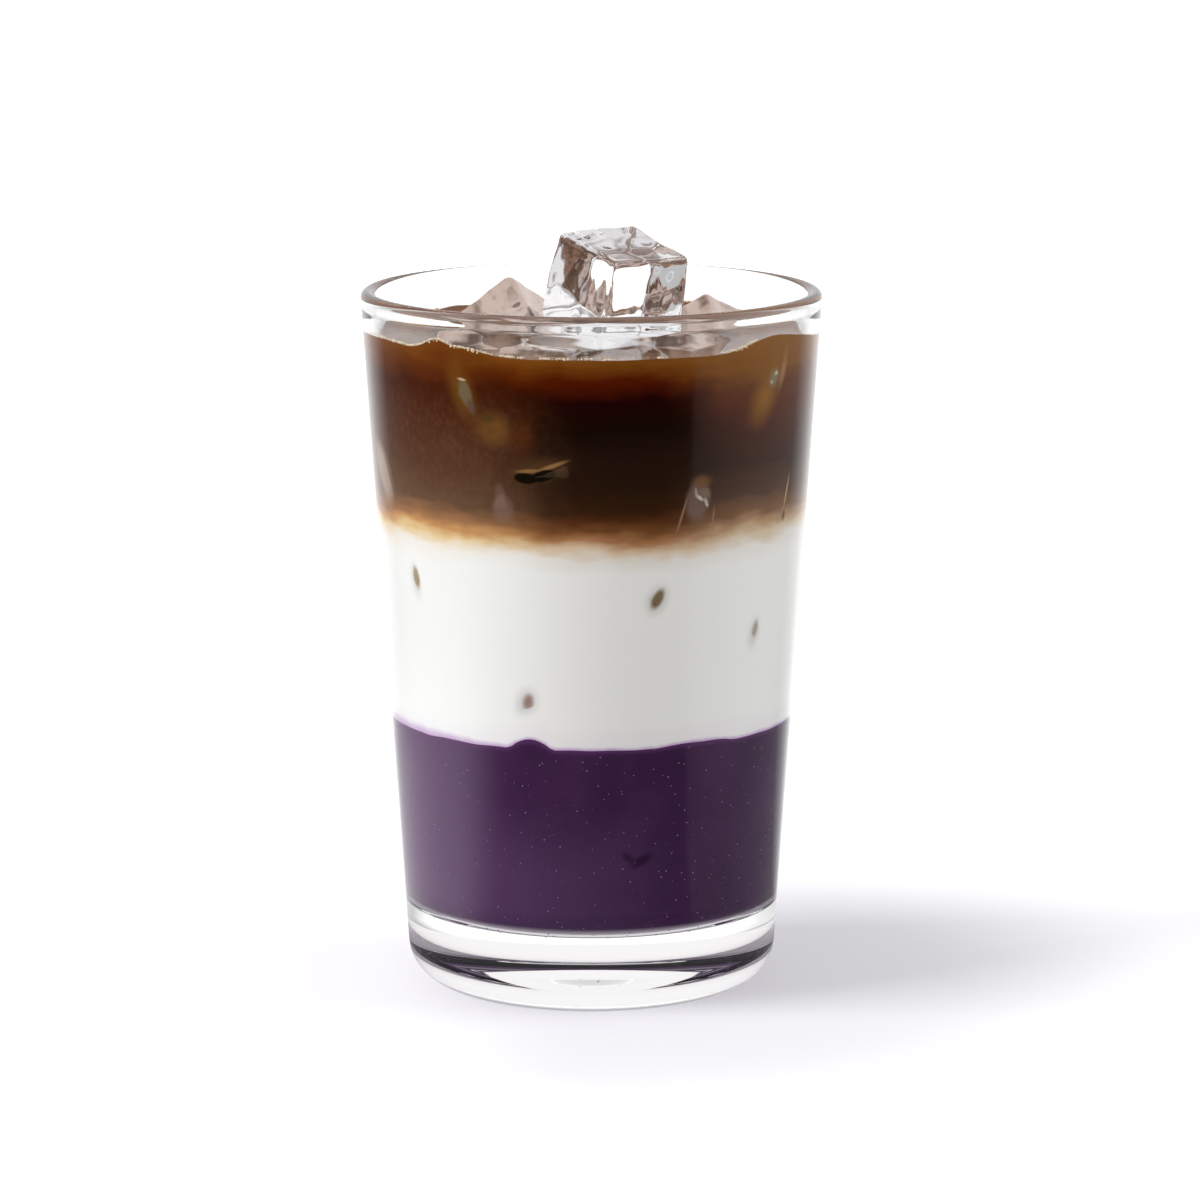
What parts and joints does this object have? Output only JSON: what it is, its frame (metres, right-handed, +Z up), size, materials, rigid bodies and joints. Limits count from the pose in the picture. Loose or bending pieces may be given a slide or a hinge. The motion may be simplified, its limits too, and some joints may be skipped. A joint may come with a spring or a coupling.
{
  "type": "iced blueberry latte in a glass",
  "caption": "Straight tapering tumbler with a thick base, holding layers of blueberry puree, milk and coffee with ice cubes standing out of the top.",
  "frame": {"origin": "middle of the ring the glass stands on, on its axis", "axes": "+Z up along the glass's axis; -Y is the front"},
  "size_m": [0.088, 0.088, 0.1464],
  "materials": {
    "clear_glass": "clear, polished",
    "blueberry_puree": "smooth, thick, glossy where it meets the glass",
    "milk": "smooth liquid, white fading to tan at its top",
    "coffee": "smooth liquid, dark brown with amber where it is thin",
    "ice": "clear, wet, rounded by melting"
  },
  "bodies": {
    "root": {"glass": "clear_glass", "blueberry_layer": "blueberry_puree", "milk_layer": "milk", "coffee_layer": "coffee", "ice_tall": "ice", "ice_left": "ice", "ice_right": "ice", "ice_front_right": "ice", "ice_back": "ice", "ice_front_left": "ice", "ice_front": "ice"}
  },
  "joints": []
}
